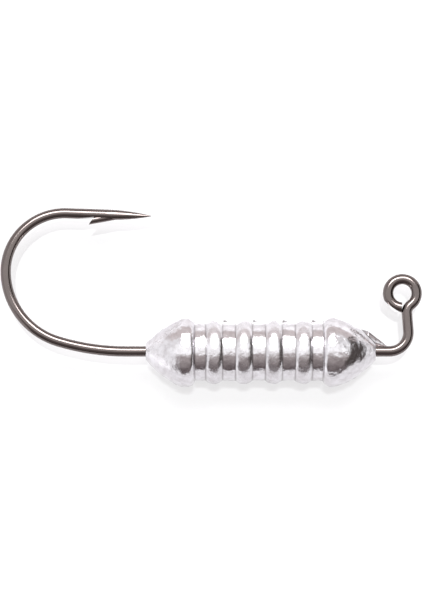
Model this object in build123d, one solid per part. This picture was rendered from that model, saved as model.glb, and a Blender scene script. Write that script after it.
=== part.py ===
from build123d import *

import os
from math import atan2, cos, degrees, hypot, radians, sin, sqrt

# A jig head for an internal soft bait, lying on its side, in millimetres.
# +X runs along the shank towards the line eye, +Y from the shank towards the hook's point,
# +Z up, away from the surface it lies on. The origin is the centre of the line eye.
# It has two pieces: the hook, one bent and pointed steel wire, and the lead head cast on it.

# Hook wire
wire_diameter = 1.1
wire_radius = wire_diameter / 2

# Line eye: the wire leans back up from the shank, necks outwards and closes into a ring
eye_height = 6.1
eye_radius = 1.49
neck_radius = 1.0
stem_offset = 0.31
stem_lean = 4.0
nose_bend_radius = 2.0
eye_turn_end = 267.0

# The shears leave a slanting face on the outside of the eye's end
shear_turn = 65.0
shear_margin = 1.0
shear_tilt = 20.0

# Bend of the hook: an easy start, the round of the bend, then a tighter crown
tail_gap = 2.06
heel_radius = 24.4
heel_turn = 16.7
bend_radius = 7.83
bend_turn = 70.3
crown_radius = 6.12
point_lean = 2.0

# Point: a straight spear with a long round taper
point_run = 8.85
taper_length = 4.6
tip_radius = 0.03

# Barb: a flake raised from the inner side of the spear
barb_from_tip = 6.5
barb_length = 2.7
barb_rise = 0.58
barb_rake = 0.55
barb_crown_radius = 0.38
barb_cut_depth = 0.2
barb_cut_length = 1.3
overcut = 0.01

# Lead head, from its blunt nose end back to its blunt tail end
nose_gap = 1.45
head_length = 23.85
nose_length = 4.35
nose_end_radius = 0.89
nose_bulge = 0.42
front_collar_width = 1.13
front_collar_round = 0.95
tail_length = 3.75
tail_end_radius = 0.85
tail_bulge = 0.3
rear_collar_width = 1.34
rear_collar_round = 0.7
collar_radius = 3.68
barrel_radius = 3.02

# Ribs that grip the soft bait
rib_count = 4
rib_pitch = 3.09
rib_height = 0.355
rib_width = 1.75
rib_foot_round = 0.2

# Flash: what the lead leaves in the joint of the mould, in the plane of the hook
flash_thickness = 0.16
seam_height = 0.05
fin_reach = 1.15
fin_shoulder = (0.73, 2.08)
fin_root = (1.95, 2.5)
crumb_height = 0.24
crumb_length = 0.6

# The straight shank runs from the bend to the nose bend, right through the head
shank_length = nose_gap + head_length + tail_gap
shank_y = -eye_height


def polar(radius, angle):
    """A point at this radius and angle in degrees around the eye's centre."""
    return Vector(radius * cos(radians(angle)), radius * sin(radians(angle)))


def eye_side_path():
    """Centreline from the shank's front end, up the stem and round the eye to its cut end."""
    heading = radians(90 + stem_lean)
    along = Vector(cos(heading), sin(heading))
    across = Vector(sin(heading), -cos(heading))

    reach = eye_radius + neck_radius
    side = stem_offset + neck_radius
    neck_centre = across * side - along * sqrt(reach**2 - side**2)
    stem_top = neck_centre - across * neck_radius

    bend_y = shank_y + nose_bend_radius
    bend_x = (stem_offset - nose_bend_radius - bend_y * across.Y) / across.X
    nose_bend = JernArc((bend_x, shank_y), (1, 0), nose_bend_radius, 90 + stem_lean)
    stem = Line(nose_bend @ 1, stem_top)

    ring_start = degrees(atan2(neck_centre.Y, neck_centre.X))
    neck = JernArc(stem @ 1, along, neck_radius, ring_start - stem_lean)
    ring = JernArc(neck @ 1, neck % 1, eye_radius, eye_turn_end - ring_start)
    return [nose_bend, stem, neck, ring]


def bend_side_path(shank_end):
    """Centreline from the shank's rear end, round the bend and along the straight of the spear."""
    heel = JernArc(shank_end, (-1, 0), heel_radius, -heel_turn)
    bend = JernArc(heel @ 1, heel % 1, bend_radius, -bend_turn)
    crown_turn = 180 + point_lean - heel_turn - bend_turn
    crown = JernArc(bend @ 1, bend % 1, crown_radius, -crown_turn)
    spear = Line(crown @ 1, crown @ 1 + (crown % 1) * (point_run - taper_length))
    return [heel, bend, crown, spear]


def taper(start, direction):
    """The round point, whose sides curve in from the wire's full thickness to the tip."""
    side = TangentArc((wire_radius, 0), (tip_radius, taper_length), tangent=(0, 1))
    outline = [
        Line((0, 0), (wire_radius, 0)),
        side,
        Line((tip_radius, taper_length), (0, taper_length)),
        Line((0, taper_length), (0, 0)),
    ]
    profile = make_face([Plane.XZ * edge for edge in outline])
    return Plane(start, x_dir=(0, 0, 1), z_dir=direction) * revolve(profile, Axis.Z)


def barb(tip, direction):
    """The raised flake and the cut behind it, on the side of the spear that faces the shank."""
    frame = Plane(tip, x_dir=direction, z_dir=(0, 0, -1))
    back = -barb_from_tip
    root = Vector(back + barb_rake, wire_radius - barb_cut_depth)
    flake_tip = Vector(back, wire_radius + barb_rise)
    front = Vector(back + barb_length, wire_radius)
    side = Polyline(root, flake_tip, front, (front.X, 0), (root.X, 0), close=True)

    slope = (front - flake_tip).normalized()
    inset = Vector(slope.Y, -slope.X) * barb_crown_radius
    crown = Plane(flake_tip + inset - slope * wire_diameter, z_dir=slope) * Cylinder(
        barb_crown_radius,
        barb_length + 2 * wire_diameter,
        align=(Align.CENTER, Align.CENTER, Align.MIN),
    )
    flake = extrude(make_face(side), wire_radius, both=True) & crown

    cut_end = (back - barb_cut_length, wire_radius + overcut)
    cut = make_face(Polyline(root, flake_tip, cut_end, close=True))
    return frame * flake, frame * extrude(cut, wire_diameter, both=True)


def sheared_corner():
    """The wedge that the wire shears take off the outside of the eye's end."""
    outer = eye_radius + wire_radius
    start = polar(outer, eye_turn_end - shear_turn)
    end = polar(outer, eye_turn_end - shear_margin)
    chord = end - start
    block = Box(
        chord.length,
        wire_diameter,
        4 * wire_diameter,
        align=(Align.MIN, Align.MAX, Align.CENTER),
    )
    return Plane(start, x_dir=chord, z_dir=(0, 0, 1)) * Rot(X=shear_tilt) * block


def make_hook():
    """One round wire from the tip of the point to the cut end of the eye."""
    front = eye_side_path()
    shank_front = front[0] @ 0
    shank_end = shank_front - Vector(shank_length, 0)
    rear = bend_side_path(shank_end)
    spear_end = rear[-1] @ 1
    spear_way = rear[-1] % 1

    path = Wire(rear + [Line(shank_end, shank_front)] + front)
    section = Plane(path @ 0, z_dir=path % 0) * Circle(wire_radius)
    wire = sweep(section, path)

    point = taper(spear_end, spear_way)
    tip = spear_end + spear_way * taper_length
    flake, cut = barb(tip, spear_way)
    return (wire + point - cut + flake) - sheared_corner(), shank_front


def half_outline(nose_x, grow=0):
    """Half section of the head: X along the shank, Y out from its line, grown by this much."""
    nose_end = nose_x + grow
    tail_end = nose_x - head_length - grow
    front_crest = nose_x - nose_length
    rear_crest = nose_x - head_length + tail_length
    crest = collar_radius + grow
    barrel = barrel_radius + grow
    barrel_front = front_crest - front_collar_width
    barrel_rear = rear_crest + rear_collar_width

    nose = [(nose_end, nose_end_radius + grow), (front_crest, crest)]
    tail = [(rear_crest, crest), (tail_end, tail_end_radius + grow)]
    front_edge = (barrel_front + front_collar_round, crest)
    rear_edge = (barrel_rear - rear_collar_round, crest)
    outline = [
        Line((tail_end, 0), (nose_end, 0)),
        Line((nose_end, 0), nose[0]),
        SagittaArc(*nose, -nose_bulge),
        Line(nose[1], front_edge),
        TangentArc(front_edge, (barrel_front, barrel), tangent=(-1, 0)),
        TangentArc(rear_edge, (barrel_rear, barrel), tangent=(1, 0)),
        Line(rear_edge, tail[0]),
        SagittaArc(*tail, -tail_bulge),
        Line(tail[1], (tail_end, 0)),
    ]

    reached = (barrel_front, barrel)
    feet = []
    for centre in rib_centres(nose_x):
        front_foot = (centre + rib_width / 2, barrel)
        rear_foot = (centre - rib_width / 2, barrel)
        outline.append(Line(reached, front_foot))
        outline.append(ThreePointArc(front_foot, (centre, barrel + rib_height), rear_foot))
        feet += [front_foot, rear_foot]
        reached = rear_foot
    outline.append(Line(reached, (barrel_rear, barrel)))

    face = make_face(outline)
    corners = [min(face.vertices(), key=lambda v: hypot(v.X - x, v.Y - y)) for x, y in feet]
    return fillet(corners, rib_foot_round)


def rib_centres(nose_x):
    """Where the ribs stand along the shank, spaced about the middle of the barrel."""
    barrel_front = nose_x - nose_length - front_collar_width
    barrel_rear = nose_x - head_length + tail_length + rear_collar_width
    middle = (barrel_front + barrel_rear) / 2
    first = middle + rib_pitch * (rib_count - 1) / 2
    return [first - rib_pitch * i for i in range(rib_count)]


def flash(nose_x):
    """The thin lead in the mould joint: a seam all round, a fin at the nose and rib crumbs."""
    seam = half_outline(nose_x, seam_height)
    plates = seam + mirror(seam, Plane.XZ)

    shoulder_back, shoulder_radius = fin_shoulder
    root_back, root_radius = fin_root
    fin = Polyline(
        (nose_x + fin_reach, 0),
        (nose_x + fin_reach, wire_radius + seam_height),
        (nose_x - shoulder_back, shoulder_radius),
        (nose_x - root_back, root_radius),
        (nose_x - root_back, 0),
        close=True,
    )
    plates += make_face(fin)

    for centre in rib_centres(nose_x):
        foot = centre + rib_width / 2
        crumb = Polyline(
            (foot - crumb_length / 3, barrel_radius / 2),
            (foot + crumb_length, barrel_radius / 2),
            (foot + crumb_length * 0.7, barrel_radius + crumb_height / 2),
            (foot, barrel_radius + crumb_height),
            close=True,
        )
        plates += make_face(crumb)
    return extrude(plates, flash_thickness / 2, both=True)


def make_head(shank_front):
    """The lead cast round the shank, bored by the wire that runs through it."""
    nose_x = shank_front.X - nose_gap
    body = revolve(half_outline(nose_x), Axis.X)
    head = Pos(Y=shank_y) * (body + flash(nose_x))
    bore = Plane(shank_front, z_dir=(-1, 0, 0)) * Cylinder(
        wire_radius, shank_length, align=(Align.CENTER, Align.CENTER, Align.MIN)
    )
    return head - bore


os.makedirs("parts", exist_ok=True)
hook, shank_front = make_hook()
for name, piece in {"hook": hook, "lead_head": make_head(shank_front)}.items():
    piece.label = name
    export_step(piece, f"parts/{name}.step")
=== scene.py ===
import logging
import math
from dataclasses import dataclass
from enum import Enum
from typing import Any

import bpy
from mathutils import Matrix, Vector, noise


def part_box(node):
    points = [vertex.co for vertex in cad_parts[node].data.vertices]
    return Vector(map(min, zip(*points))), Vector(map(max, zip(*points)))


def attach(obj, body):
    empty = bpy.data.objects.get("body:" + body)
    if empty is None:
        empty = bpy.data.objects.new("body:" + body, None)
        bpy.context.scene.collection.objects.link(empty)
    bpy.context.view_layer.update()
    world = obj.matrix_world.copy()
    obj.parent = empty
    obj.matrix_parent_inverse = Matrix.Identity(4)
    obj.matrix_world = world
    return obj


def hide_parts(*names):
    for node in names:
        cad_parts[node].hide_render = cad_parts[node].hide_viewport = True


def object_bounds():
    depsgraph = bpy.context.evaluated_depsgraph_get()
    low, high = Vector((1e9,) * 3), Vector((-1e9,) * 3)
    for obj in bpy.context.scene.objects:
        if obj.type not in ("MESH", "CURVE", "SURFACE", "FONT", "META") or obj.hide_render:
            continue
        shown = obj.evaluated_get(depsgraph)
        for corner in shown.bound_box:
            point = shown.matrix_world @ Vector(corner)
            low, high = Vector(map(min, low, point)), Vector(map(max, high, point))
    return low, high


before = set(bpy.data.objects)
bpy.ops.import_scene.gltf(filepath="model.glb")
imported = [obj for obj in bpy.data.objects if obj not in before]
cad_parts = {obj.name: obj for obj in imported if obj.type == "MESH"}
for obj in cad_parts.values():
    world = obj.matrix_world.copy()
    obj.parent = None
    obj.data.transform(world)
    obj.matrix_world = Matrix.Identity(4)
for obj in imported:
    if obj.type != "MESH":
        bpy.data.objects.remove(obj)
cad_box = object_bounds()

# The looks of a jig head for an internal soft bait, which lies on its side on a pale table.
# The hook is a plated steel wire and keeps its CAD mesh. The head is a lead casting, and is
# modelled here with the dents, wrinkles, seam and flash that a casting has.

MM = 0.001

log = logging.getLogger("jig_head")

# Places in the noise field, far enough apart that the patterns don't match each other.
DENTS_AT = Vector((3.1, 0.0, 7.7))
RIPPLES_AT = Vector((9.4, 5.2, 0.0))
UPPER_SEAM_AT = 4.0
LOWER_SEAM_AT = 11.0
FIN_AT = 2.0


class Slot(Enum):
    """The record's material slot for the lead, which nothing here reads."""

    LEAD = "cast_lead"


def linear(colour: str) -> tuple[float, float, float, float]:
    """Turn an sRGB hex colour into the linear colour that a shader takes.

    Args:
        colour: Six hex digits, such as "8a8f94".

    Returns:
        Linear red, green, blue and an alpha of 1.
    """
    parts = [int(colour[i : i + 2], 16) / 255 for i in (0, 2, 4)]
    red, green, blue = (c / 12.92 if c <= 0.04045 else ((c + 0.055) / 1.055) ** 2.4 for c in parts)
    return red, green, blue, 1.0


def grain(size_mm: float) -> float:
    """Give the texture scale at which a pattern repeats about once in this many millimetres."""
    return 1 / (size_mm * MM)


def add_node(tree: bpy.types.NodeTree, kind: str, inputs: dict[Any, Any], **settings: Any) -> Any:
    """Add one node with its settings, input values and incoming links.

    Args:
        tree: The node tree to add to.
        kind: The node's type, such as "ShaderNodeBump".
        inputs: Values or output sockets by the input's name or index.
        settings: Properties of the node itself.

    Returns:
        The new node.
    """
    node = tree.nodes.new(kind)
    for name, value in settings.items():
        setattr(node, name, value)
    for key, value in inputs.items():
        if isinstance(value, bpy.types.NodeSocket):
            tree.links.new(value, node.inputs[key])
        else:
            node.inputs[key].default_value = value
    return node


def blank_material(name: str) -> tuple[bpy.types.Material, bpy.types.NodeTree, Any]:
    """Make an empty node material.

    Args:
        name: The material's name.

    Returns:
        The material, its node tree and its output node.
    """
    material = bpy.data.materials.new(name)
    material.use_nodes = True
    tree = material.node_tree
    tree.nodes.clear()
    return material, tree, tree.nodes.new("ShaderNodeOutputMaterial")


def make_object(name: str, verts: list[Vector], faces: list[tuple[int, ...]]) -> bpy.types.Object:
    """Make a smooth-shaded mesh object and link it into the scene.

    Args:
        name: The object's name.
        verts: Corner points in metres, in the row frame.
        faces: Corner numbers of each face.

    Returns:
        The new object.
    """
    mesh = bpy.data.meshes.new(name)
    mesh.from_pydata(verts, [], faces)
    mesh.polygons.foreach_set("use_smooth", [True] * len(mesh.polygons))
    mesh.update()
    piece = bpy.data.objects.new(name, mesh)
    bpy.context.scene.collection.objects.link(piece)
    return piece


def paint(piece: bpy.types.Object, name: str, values: list[float]) -> None:
    """Store one number at each point of a mesh, for its material to read.

    Args:
        piece: The mesh object.
        name: The attribute's name.
        values: One number for each point.
    """
    layer = piece.data.attributes.new(name, "FLOAT", "POINT")
    layer.data.foreach_set("value", values)


@dataclass(frozen=True)
class BlackNickel:
    """Black nickel plated on drawn and polished carbon steel wire.

    The plating is thin, glossy and warm grey, so the wire mirrors its surroundings darkly, with
    faint marks from drawing and a slightly duller bloom in places.
    """

    tone: str = "6c6462"
    bloom: str = "7d7472"
    roughness: tuple[float, float] = (0.07, 0.17)
    bloom_size_mm: float = 2.4
    # The marks are a few hundredths of a millimetre across, and are drawn coarser to show.
    mark_size_mm: float = 0.16
    mark_depth_mm: float = 0.003

    def build(self) -> bpy.types.Material:
        """Make the material.

        Returns:
            The new material.
        """
        material, tree, output = blank_material("black_nickel_plated_wire")
        place = add_node(tree, "ShaderNodeTexCoord", {}).outputs["Object"]
        patches = add_node(
            tree,
            "ShaderNodeTexNoise",
            {"Vector": place, "Scale": grain(self.bloom_size_mm), "Detail": 4.0, "Roughness": 0.6},
        ).outputs["Fac"]
        marks = add_node(
            tree,
            "ShaderNodeTexNoise",
            {"Vector": place, "Scale": grain(self.mark_size_mm), "Detail": 3.0, "Roughness": 0.5},
        ).outputs["Fac"]
        colour = add_node(
            tree,
            "ShaderNodeMix",
            {"Factor": patches, 6: linear(self.tone), 7: linear(self.bloom)},
            data_type="RGBA",
        ).outputs[2]
        roughness = add_node(
            tree,
            "ShaderNodeMapRange",
            {"Value": patches, "From Min": 0.3, "From Max": 0.7,
             "To Min": self.roughness[0], "To Max": self.roughness[1]},
        ).outputs["Result"]
        bump = add_node(
            tree,
            "ShaderNodeBump",
            {"Height": marks, "Strength": 0.5, "Distance": self.mark_depth_mm * MM},
        ).outputs["Normal"]
        shader = add_node(
            tree,
            "ShaderNodeBsdfPrincipled",
            {"Base Color": colour, "Metallic": 1.0, "Roughness": roughness, "Normal": bump},
        )
        tree.links.new(shader.outputs["BSDF"], output.inputs["Surface"])
        return material


@dataclass(frozen=True)
class CastLead:
    """Bright lead poured into a split mould and left bare.

    The skin froze against the mould, so it is nearly a mirror, broken by a fine grain and shallow
    wrinkles, with painted shade in a darker grey in the grooves, pits and along the flash.
    """

    bright: str = "e9e7eb"
    dull: str = "cdc9cc"
    # Colour of the painted shade in the steps beside the ribs and collars, in the pits and on the
    # flash.
    painted_shading: str = "5b5250"
    roughness: tuple[float, float] = (0.08, 0.22)
    skin_size_mm: float = 0.8
    # The grain of the skin is under a tenth of a millimetre, and is drawn coarser to show.
    grain_size_mm: float = 0.2
    grain_depth_mm: float = 0.025
    wrinkle_size_mm: float = 0.7
    wrinkle_depth_mm: float = 0.03
    # What rubbing adds to the roughness along the crests of the ribs.
    rubbed_roughness: float = 0.14

    def build(self) -> bpy.types.Material:
        """Make the material.

        Returns:
            The new material.
        """
        material, tree, output = blank_material("bare_cast_lead")
        place = add_node(tree, "ShaderNodeTexCoord", {}).outputs["Object"]
        skin = add_node(
            tree,
            "ShaderNodeTexNoise",
            {"Vector": place, "Scale": grain(self.skin_size_mm), "Detail": 6.0, "Roughness": 0.65},
        ).outputs["Fac"]
        fine = add_node(
            tree,
            "ShaderNodeTexNoise",
            {"Vector": place, "Scale": grain(self.grain_size_mm), "Detail": 4.0, "Roughness": 0.7},
        ).outputs["Fac"]
        wrinkles = add_node(
            tree,
            "ShaderNodeTexNoise",
            {"Vector": place, "Scale": grain(self.wrinkle_size_mm), "Detail": 3.0, "Distortion": 1.4},
        ).outputs["Fac"]
        # Painted shade: how far the lead is darkened towards the shade colour, stored at each point.
        painted_shade = add_node(tree, "ShaderNodeAttribute", {}, attribute_name="painted_shade").outputs["Fac"]
        rubbed = add_node(tree, "ShaderNodeAttribute", {}, attribute_name="rubbed").outputs["Fac"]
        dullness = add_node(
            tree, "ShaderNodeMapRange", {"Value": skin, "From Min": 0.42, "From Max": 0.72}
        ).outputs["Result"]
        metal = add_node(
            tree,
            "ShaderNodeMix",
            {"Factor": dullness, 6: linear(self.bright), 7: linear(self.dull)},
            data_type="RGBA",
        ).outputs[2]
        colour = add_node(
            tree, "ShaderNodeMix", {"Factor": painted_shade, 6: metal, 7: linear(self.painted_shading)}, data_type="RGBA"
        ).outputs[2]
        roughness = add_node(
            tree,
            "ShaderNodeMapRange",
            {"Value": skin, "From Min": 0.35, "From Max": 0.75,
             "To Min": self.roughness[0], "To Max": self.roughness[1]},
        ).outputs["Result"]
        roughness = add_node(
            tree,
            "ShaderNodeMath",
            {0: rubbed, 1: self.rubbed_roughness, 2: roughness},
            operation="MULTIPLY_ADD",
        ).outputs[0]
        ripple = add_node(
            tree,
            "ShaderNodeBump",
            {"Height": wrinkles, "Strength": 0.6, "Distance": self.wrinkle_depth_mm * MM},
        ).outputs["Normal"]
        bump = add_node(
            tree,
            "ShaderNodeBump",
            {"Height": fine, "Normal": ripple, "Strength": 0.6, "Distance": self.grain_depth_mm * MM},
        ).outputs["Normal"]
        shader = add_node(
            tree,
            "ShaderNodeBsdfPrincipled",
            {"Base Color": colour, "Metallic": 1.0, "Roughness": roughness, "Normal": bump},
        )
        tree.links.new(shader.outputs["BSDF"], output.inputs["Surface"])
        return material


@dataclass(frozen=True)
class GlossLaminate:
    """White gloss laminate, pressed smooth, which mirrors faintly what lies on it.

    The IOR is above the 1.5 of a real laminate, so that the faint mirror image shows.
    """

    tone: str = "8f8d90"
    roughness: float = 0.04
    ior: float = 2.2
    lift: float = 0.66

    def build(self) -> bpy.types.Material:
        """Make the material, with a lift to white where the camera or the metal sees it.

        Returns:
            The new material.
        """
        material, tree, output = blank_material("white_gloss_laminate")
        shader = add_node(
            tree,
            "ShaderNodeBsdfPrincipled",
            {"Base Color": linear(self.tone), "Roughness": self.roughness, "IOR": self.ior},
        )
        path = add_node(tree, "ShaderNodeLightPath", {})
        seen = add_node(
            tree,
            "ShaderNodeMath",
            {0: path.outputs["Is Camera Ray"], 1: path.outputs["Is Glossy Ray"]},
            operation="MAXIMUM",
        ).outputs[0]
        strength = add_node(
            tree, "ShaderNodeMath", {0: seen, 1: self.lift}, operation="MULTIPLY"
        ).outputs[0]
        glow = add_node(tree, "ShaderNodeEmission", {"Strength": strength})
        total = add_node(
            tree, "ShaderNodeAddShader", {0: shader.outputs["BSDF"], 1: glow.outputs["Emission"]}
        )
        tree.links.new(total.outputs["Shader"], output.inputs["Surface"])
        return material


@dataclass
class Hook:
    """The hook: one plated steel wire, whose CAD mesh is already its true shape."""

    node: str = "hook"

    def build(self) -> bpy.types.Object:
        """Fetch the hook's CAD node."""
        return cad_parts[self.node]

    def dress(self, piece: bpy.types.Object, finish: BlackNickel) -> None:
        """Give the hook its plating.

        Args:
            piece: The hook.
            finish: The wire's finish.
        """
        piece.data.materials.clear()
        piece.data.materials.append(finish.build())


@dataclass
class LeadHead:
    """The lead head: a ribbed barrel between two collars, a bullet nose and a tapered tail.

    Sizes are in millimetres. Stations run along the shank from the tail end to the nose end, and
    a turn of 0 degrees faces the hook's point.
    """

    node: str = "lead_head"
    # A collar is its width along the shank, and the round of its edge towards the ribs.
    nose_length: float = 4.35
    nose_end_radius: float = 0.89
    nose_bulge: float = 0.42
    front_collar: tuple[float, float] = (1.13, 0.95)
    tail_length: float = 3.75
    tail_end_radius: float = 0.85
    tail_bulge: float = 0.3
    rear_collar: tuple[float, float] = (1.34, 0.7)
    barrel_radius: float = 3.02
    rib_count: int = 4
    rib_pitch: float = 3.09
    rib_height: float = 0.355
    rib_width: float = 1.75
    fin_reach: float = 1.15
    wire_radius: float = 0.55
    station_step: float = 0.055
    turns: int = 288
    # Each blunt end has one more ring of points, at this share of its radius.
    hub_share: float = 0.8

    # Errors of the casting, each as its waves per millimetre and its depth.
    dents: tuple[float, float] = (0.55, 0.035)
    ripples: tuple[float, float] = (1.7, 0.02)
    pits: tuple[float, float] = (4.3, 0.008)
    rough_ends: float = 1.2
    shrinkage: float = 0.02
    # Errors and flash grow from nothing at the wire to their full size this far out.
    smooth_hub: float = 0.4

    # Seam of the mould: its height is the first share of the full one, and varies by the second.
    seam_height: float = 0.05
    seam_width: float = 0.09
    seam_reach: float = 0.4
    seam_ragged: tuple[float, float] = (0.75, 0.9)
    seam_waves: float = 2.3

    # Crumbs of flash, placed by a share of the rib's width from its centre.
    crumb_height: float = 0.24
    crumb_place: float = 0.62
    crumb_span: tuple[float, float] = (-0.15, 0.5)
    crumb_ragged: tuple[float, float] = (0.8, 0.5)

    # Fin of flash at the nose: its corners as distance back from the nose end, and height.
    fin_shoulder: tuple[float, float] = (0.73, 2.08)
    fin_root: tuple[float, float] = (1.95, 2.45)
    fin_half: float = 0.08
    fin_top_share: float = 0.6
    fin_sink: float = 0.98
    fin_steps: int = 24
    fin_ragged: tuple[float, float] = (3.1, 0.05)
    # Painted shade along the fin's top edge, which draws a dark outline.
    fin_edge_shade: float = 0.3

    # Painted shade: width and darkness in the steps, depth and darkening of pits, and darkening of
    # flash, which draws dark lines along the seam.
    step_shade: tuple[float, float] = (0.08, 0.5)
    pit_shade: tuple[float, float] = (0.045, 9.0)
    flash_shade: float = 4.0
    rubbed_share: float = 0.4

    def __post_init__(self) -> None:
        """Place the head from the CAD node's box, in millimetres."""
        low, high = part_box(self.node)
        self.tail_x = low.x / MM + self.seam_height
        self.nose_x = high.x / MM - self.fin_reach
        self.collar_radius = high.z / MM
        self.axis_y = low.y / MM + self.collar_radius + self.seam_height
        self.front_crest = self.nose_x - self.nose_length
        self.rear_crest = self.tail_x + self.tail_length
        self.barrel_front = self.front_crest - self.front_collar[0]
        self.barrel_rear = self.rear_crest + self.rear_collar[0]

    def ribs(self) -> list[float]:
        """Give the ribs' places.

        Returns:
            The ribs' centres along the shank, from the tail.
        """
        middle = (self.barrel_front + self.barrel_rear) / 2
        first = middle - self.rib_pitch * (self.rib_count - 1) / 2
        return [first + self.rib_pitch * i for i in range(self.rib_count)]

    @staticmethod
    def bulge(t: float, start: float, end: float, rise: float, span: float) -> float:
        """Give the radius along a cone whose side bulges like a shallow arc.

        Args:
            t: Share of the way from start to end, 0 to 1.
            start: Radius at the start.
            end: Radius at the end.
            rise: How far the arc stands off the straight side at its middle.
            span: Length of the cone along the shank.

        Returns:
            The radius there.
        """
        slant = math.hypot(span, end - start) / span
        return start + (end - start) * t + 4 * rise * slant * t * (1 - t)

    @staticmethod
    def shoulder(t: float, crest: float, foot: float) -> float:
        """Give the radius along the rounded edge of a collar, from its crest to its foot."""
        return foot + (crest - foot) * math.sqrt(max(0.0, 1 - t * t))

    def radius(self, x: float) -> float:
        """Give the casting's true radius.

        Args:
            x: Place along the shank.

        Returns:
            The radius there, with its collars, ribs and cones.
        """
        crest, barrel = self.collar_radius, self.barrel_radius
        front_round, rear_round = self.front_collar[1], self.rear_collar[1]
        if x < self.rear_crest:
            t = (x - self.tail_x) / self.tail_length
            return self.bulge(t, self.tail_end_radius, crest, self.tail_bulge, self.tail_length)
        if x > self.front_crest:
            t = (self.nose_x - x) / self.nose_length
            return self.bulge(t, self.nose_end_radius, crest, self.nose_bulge, self.nose_length)
        if x < self.barrel_rear:
            if x <= self.barrel_rear - rear_round:
                return crest
            return self.shoulder((x - self.barrel_rear + rear_round) / rear_round, crest, barrel)
        if x > self.barrel_front:
            if x >= self.barrel_front + front_round:
                return crest
            return self.shoulder((self.barrel_front + front_round - x) / front_round, crest, barrel)
        away = min(abs(x - centre) for centre in self.ribs())
        half, rise = self.rib_width / 2, self.rib_height
        curve = (half**2 + rise**2) / (2 * rise)
        return barrel + max(0.0, math.sqrt(max(0.0, curve**2 - away**2)) - (curve - rise))

    def casting_error(self, point: Vector, x: float) -> float:
        """Give how far the skin stands off its true shape here: dents, wrinkles and grain.

        Args:
            point: A point on the true shape, in millimetres.
            x: Its place along the shank.

        Returns:
            The error in millimetres, below zero where the lead shrank away from the mould.
        """
        dents = noise.noise(point * self.dents[0] + DENTS_AT)
        ripples = noise.noise(point * self.ripples[0] + RIPPLES_AT)
        pits = noise.noise(point * self.pits[0])
        ends = 1.0 if self.rear_crest < x < self.front_crest else self.rough_ends
        waves = ends * (self.dents[1] * dents + self.ripples[1] * ripples)
        return waves + self.pits[1] * pits - self.shrinkage

    def flash_height(self, x: float, across: float, upper: bool) -> float:
        """Give how far the seam's flash stands proud here.

        Args:
            x: Place along the shank.
            across: Distance from the mould joint, round the head.
            upper: Whether this is the side that faces the hook's point.

        Returns:
            The height of the flash.
        """
        row = UPPER_SEAM_AT if upper else LOWER_SEAM_AT
        ragged = noise.noise(Vector((x * self.seam_waves, row, 0.0)))
        height = self.seam_height * (self.seam_ragged[0] + self.seam_ragged[1] * ragged)
        if upper:
            start, end = self.crumb_span
            share = self.crumb_ragged[0] + self.crumb_ragged[1] * ragged
            for centre in self.ribs():
                gap = x - centre - self.rib_width * self.crumb_place
                if start < gap < end:
                    height += self.crumb_height * (1 - max(0.0, gap) / end) * share
        return height * math.exp(-((across / self.seam_width) ** 2))

    def painted_shade(self, x: float, error: float, height: float) -> float:
        """Give how much painted shade lies here, from 0 to 1.

        Args:
            x: Place along the shank, as painted shade darkens the steps beside the ribs and collars.
            error: How far the skin stands off its true shape, as painted shade darkens the pits.
            height: How far flash stands proud here, as painted shade darkens the flash into dark
                lines along the seam.

        Returns:
            The share of painted shade.
        """
        steps = [self.barrel_rear, self.barrel_front]
        steps += [rib + side * self.rib_width / 2 for rib in self.ribs() for side in (-1, 1)]
        width, darkness = self.step_shade
        line = max(math.exp(-(((x - step) / width) ** 2)) for step in steps)
        depth, darkening = self.pit_shade
        pit = max(0.0, -error - depth) * darkening
        return min(1.0, darkness * line + pit + self.flash_shade * height)

    def rubbed(self, x: float) -> float:
        """Give how dull the lead is rubbed here, from 0 to 1: along the crests of the ribs."""
        away = min(abs(x - centre) for centre in self.ribs())
        return math.exp(-((away / (self.rib_width * self.rubbed_share)) ** 2))

    def skin(self) -> tuple[list[Vector], list[tuple[int, ...]], list[float], list[float]]:
        """Build the casting's skin as rings round the shank, with both blunt ends.

        Returns:
            The points in metres, the faces, and the painted shade and the rubbing at each point.
        """
        count = round((self.nose_x - self.tail_x) / self.station_step)
        tail_hub = self.tail_end_radius * self.hub_share
        nose_hub = self.nose_end_radius * self.hub_share
        stations = [(self.tail_x, self.wire_radius), (self.tail_x, tail_hub)]
        for i in range(count + 1):
            x = self.tail_x + (self.nose_x - self.tail_x) * i / count
            stations.append((x, self.radius(x)))
        stations += [(self.nose_x, nose_hub), (self.nose_x, self.wire_radius)]

        verts: list[Vector] = []
        painted_shading: list[float] = []
        wear: list[float] = []
        for x, radius in stations:
            for j in range(self.turns):
                turn = 2 * math.pi * j / self.turns
                out = Vector((0.0, math.cos(turn), math.sin(turn)))
                true = Vector((x, self.axis_y, 0.0)) + out * radius
                share = min(1.0, (radius - self.wire_radius) / self.smooth_hub)
                error = share * self.casting_error(true, x)
                across = abs(out.z) * radius
                height = 0.0
                if across < self.seam_reach:
                    height = share * self.flash_height(x, across, out.y > 0)
                verts.append((true + out * (error + height)) * MM)
                # Painted shade, darker in the steps, the pits and on the flash.
                painted_shading.append(self.painted_shade(x, error, height))
                wear.append(self.rubbed(x))
        faces = []
        for i in range(len(stations) - 1):
            for j in range(self.turns):
                k = (j + 1) % self.turns
                a, b = i * self.turns, (i + 1) * self.turns
                faces.append((a + j, a + k, b + k, b + j))
        return verts, faces, painted_shading, wear

    def build(self) -> bpy.types.Object:
        """Build the casting.

        Returns:
            The casting, with its painted shade and rubbing stored at its points.
        """
        verts, faces, painted_shading, wear = self.skin()
        piece = make_object("lead_casting", verts, faces)
        paint(piece, "painted_shade", painted_shading)
        paint(piece, "rubbed", wear)
        return piece

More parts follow.
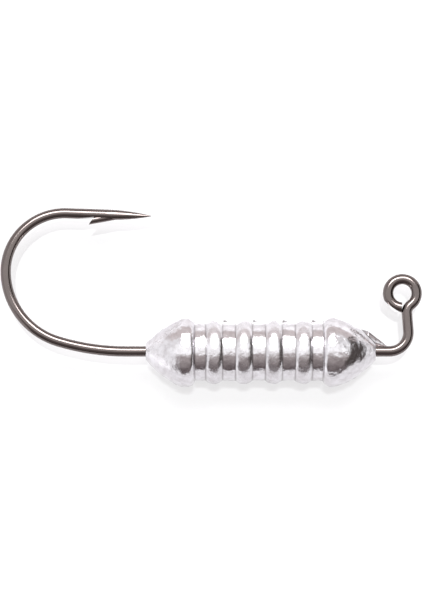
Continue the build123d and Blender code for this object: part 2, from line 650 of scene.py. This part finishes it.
    def build_fin(self) -> bpy.types.Object:
        """Build the thin fin of flash between the nose and the shank.

        Returns:
            The fin.
        """
        half, thin = self.fin_half, self.fin_half * self.fin_top_share
        waves, depth = self.fin_ragged
        low = self.wire_radius * self.fin_sink
        shoulder = (self.nose_x - self.fin_shoulder[0], self.fin_shoulder[1])
        root = (self.nose_x - self.fin_root[0], self.fin_root[1])
        toe = (self.nose_x + self.fin_reach, self.wire_radius + self.seam_height)
        top = []
        for start, end in ((root, shoulder), (shoulder, toe)):
            for i in range(self.fin_steps + 1):
                t = i / self.fin_steps
                x = start[0] + (end[0] - start[0]) * t
                rise = start[1] + (end[1] - start[1]) * t
                top.append((x, rise + depth * noise.noise(Vector((x * waves, FIN_AT, 0.0)))))
        verts, faces = [], []
        for x, rise in top:
            for y, z in ((low, -half), (rise, -thin), (rise, thin), (low, half)):
                verts.append(Vector((x, self.axis_y + y, z)) * MM)
        for i in range(len(top) - 1):
            for j in range(4):
                k = (j + 1) % 4
                faces.append((4 * i + j, 4 * i + k, 4 * i + 4 + k, 4 * i + 4 + j))
        last = 4 * (len(top) - 1)
        faces += [(3, 2, 1, 0), (last, last + 1, last + 2, last + 3)]
        fin = make_object("nose_flash", verts, faces)
        # Painted shade on the top edge of the fin only, as a dark outline.
        paint(fin, "painted_shade", [0.0, self.fin_edge_shade, self.fin_edge_shade, 0.0] * len(top))
        return fin

    def dress(self, pieces: list[bpy.types.Object], finish: CastLead) -> None:
        """Give the casting its skin, and let it stand for the CAD node.

        Args:
            pieces: The casting and its flash.
            finish: The lead's finish.
        """
        material = finish.build()
        for piece in pieces:
            piece.data.materials.append(material)
            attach(piece, "root")
            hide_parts(self.node)


@dataclass(frozen=True)
class Card:
    """A curved card beside the object, which shows only in reflections.

    It runs from one angle to the other, in degrees from straight up, and its tones are those at
    its start and end. Its reach is where it starts and ends sideways, in metres. It leans by its
    heading, in degrees from the line eye's way towards the point's. At a strength of 1 its tones
    show as they are written.
    """

    name: str
    angles: tuple[float, float]
    reach: tuple[float, float]
    tones: tuple[str, str]
    heading: float = 90.0
    strength: float = 1.0


@dataclass
class Studio:
    """A white table under one large soft light, with cards that show only in reflections.

    Angles are in degrees from straight up, towards the hook's point.
    """

    table_half: float = 3.0
    light_angles: tuple[float, float] = (20.0, 44.0)
    light_distance: float = 0.4
    light_length: float = 0.3
    light_power: float = 1.7
    room_tone: str = "fdfcfd"
    room_light: float = 0.5
    card_radius: float = 0.32
    card_steps: int = 24
    cards: tuple[Card, ...] = (
        Card("white_card", (-19.0, 20.0), (-0.5, 0.5), ("ffffff", "ffffff"), strength=1.25),
        Card("dark_card", (-19.0, -88.0), (-0.35, 1.6), ("bcb3b1", "4c4043")),
        Card("grey_card", (50.0, 84.0), (-0.5, 0.5), ("ddd3d1", "dbd0ce")),
        Card("side_card", (56.0, 86.0), (-0.2, 0.7), ("5a5350", "3e3837"), heading=0.0),
    )

    def build_table(self, floor_z: float) -> None:
        """Lay the table under the head.

        Args:
            floor_z: The height of the head's lowest point.
        """
        s = self.table_half
        corners = [Vector((x, y, floor_z)) for x, y in ((-s, -s), (s, -s), (s, s), (-s, s))]
        table = make_object("table", corners, [(0, 1, 2, 3)])
        table.data.materials.append(GlossLaminate().build())

    def build_light(self, centre: Vector) -> None:
        """Hang the soft light over the far side of the table.

        Args:
            centre: The point it faces.
        """
        low, high = (math.radians(a) for a in self.light_angles)
        middle = (low + high) / 2
        lamp = bpy.data.lights.new("soft_light", "AREA")
        lamp.shape = "RECTANGLE"
        lamp.size = self.light_length
        lamp.size_y = 2 * self.light_distance * math.tan((high - low) / 2)
        lamp.energy = self.light_power
        holder = bpy.data.objects.new("soft_light", lamp)
        way = Vector((0.0, math.sin(middle), math.cos(middle)))
        holder.location = centre + way * self.light_distance
        holder.rotation_euler = (-middle, 0.0, 0.0)
        bpy.context.scene.collection.objects.link(holder)

    def build_card(self, card: Card, centre: Vector) -> None:
        """Stand a card round the table, seen only in reflections.

        Args:
            card: The card's place and tones.
            centre: The point it curves round.
        """
        steps = self.card_steps
        heading = math.radians(card.heading)
        lean = Vector((math.cos(heading), math.sin(heading), 0.0))
        side = Vector((lean.y, -lean.x, 0.0))
        start, end = card.angles
        verts, share = [], []
        for i in range(steps + 1):
            angle = math.radians(start + (end - start) * i / steps)
            out = lean * math.sin(angle) + Vector((0.0, 0.0, math.cos(angle)))
            for x in card.reach:
                verts.append(centre + out * self.card_radius + side * x)
                share.append(i / steps)
        faces = [(2 * i, 2 * i + 1, 2 * i + 3, 2 * i + 2) for i in range(steps)]
        sheet = make_object(card.name, verts, faces)
        paint(sheet, "share", share)
        material, tree, output = blank_material(card.name)
        along = add_node(tree, "ShaderNodeAttribute", {}, attribute_name="share").outputs["Fac"]
        first, last = (linear(tone) for tone in card.tones)
        colour = add_node(
            tree, "ShaderNodeMix", {"Factor": along, 6: first, 7: last}, data_type="RGBA"
        ).outputs[2]
        glow = add_node(
            tree, "ShaderNodeEmission", {"Color": colour, "Strength": card.strength}
        )
        tree.links.new(glow.outputs["Emission"], output.inputs["Surface"])
        sheet.data.materials.append(material)
        sheet.visible_camera = False
        sheet.visible_diffuse = False
        sheet.visible_shadow = False
        sheet.visible_transmission = False

    def build_world(self) -> None:
        """Fill the room with weak light, and show it white to the camera, metal and glass."""
        world = bpy.data.worlds.new("studio")
        bpy.context.scene.world = world
        world.use_nodes = True
        tree = world.node_tree
        tree.nodes.clear()
        path = add_node(tree, "ShaderNodeLightPath", {})
        seen = path.outputs["Is Camera Ray"]
        for name in ("Is Glossy Ray", "Is Transmission Ray"):
            seen = add_node(
                tree, "ShaderNodeMath", {0: seen, 1: path.outputs[name]}, operation="MAXIMUM"
            ).outputs[0]
        strength = add_node(
            tree, "ShaderNodeMapRange", {"Value": seen, "To Min": self.room_light, "To Max": 1.0}
        ).outputs["Result"]
        air = add_node(
            tree, "ShaderNodeBackground", {"Color": linear(self.room_tone), "Strength": strength}
        )
        output = tree.nodes.new("ShaderNodeOutputWorld")
        tree.links.new(air.outputs["Background"], output.inputs["Surface"])

    def build(self, low: Vector, high: Vector) -> None:
        """Build the table, light, cards and room.

        Args:
            low: The object's lowest corner.
            high: The object's highest corner.
        """
        centre = (low + high) / 2
        self.build_table(low.z)
        self.build_light(centre)
        for card in self.cards:
            self.build_card(card, centre)
        self.build_world()
        bpy.context.scene.view_settings.view_transform = "Standard"


@dataclass
class Camera:
    """The camera, nearly straight above the hook's plane, with a long lens.

    The lean is in degrees from straight up, away from the hook's point.
    """

    lean: float = 8.0
    distance: float = 0.3
    margin: float = 1.005
    aim_shift: tuple[float, float] = (0.0001, -0.0003)
    sensor: float = 36.0

    def build(self, low: Vector, high: Vector) -> None:
        """Aim the camera so that the object fills the picture's width.

        Args:
            low: The object's lowest corner.
            high: The object's highest corner.
        """
        lens = bpy.data.cameras.new("camera")
        lens.sensor_fit = "HORIZONTAL"
        lens.sensor_width = self.sensor
        lens.lens = self.sensor * self.distance / ((high.x - low.x) * self.margin)
        lens.clip_start = 0.01
        holder = bpy.data.objects.new("camera", lens)
        lean = math.radians(self.lean)
        aim = (low + high) / 2 + Vector((*self.aim_shift, 0.0))
        aim.z = 0.0
        way = Vector((0.0, -math.sin(lean), math.cos(lean)))
        holder.matrix_world = Matrix.Translation(aim + way * self.distance) @ Matrix.Rotation(
            lean, 4, "X"
        )
        bpy.context.scene.collection.objects.link(holder)
        bpy.context.scene.camera = holder


def main() -> None:
    """Build the scene: camera, hook, lead head and studio."""
    logging.basicConfig(level=logging.INFO)
    low, high = Vector(cad_box[0]), Vector(cad_box[1])
    Camera().build(low, high)

    hook = Hook()
    wire = hook.build()
    hook.dress(wire, BlackNickel())
    log.info("hook: %d faces", len(wire.data.polygons))

    head = LeadHead()
    pieces = [head.build(), head.build_fin()]
    head.dress(pieces, CastLead())
    for piece in pieces:
        log.info("%s: %d faces", piece.name, len(piece.data.polygons))

    Studio().build(low, high)


if __name__ == "__main__":
    main()
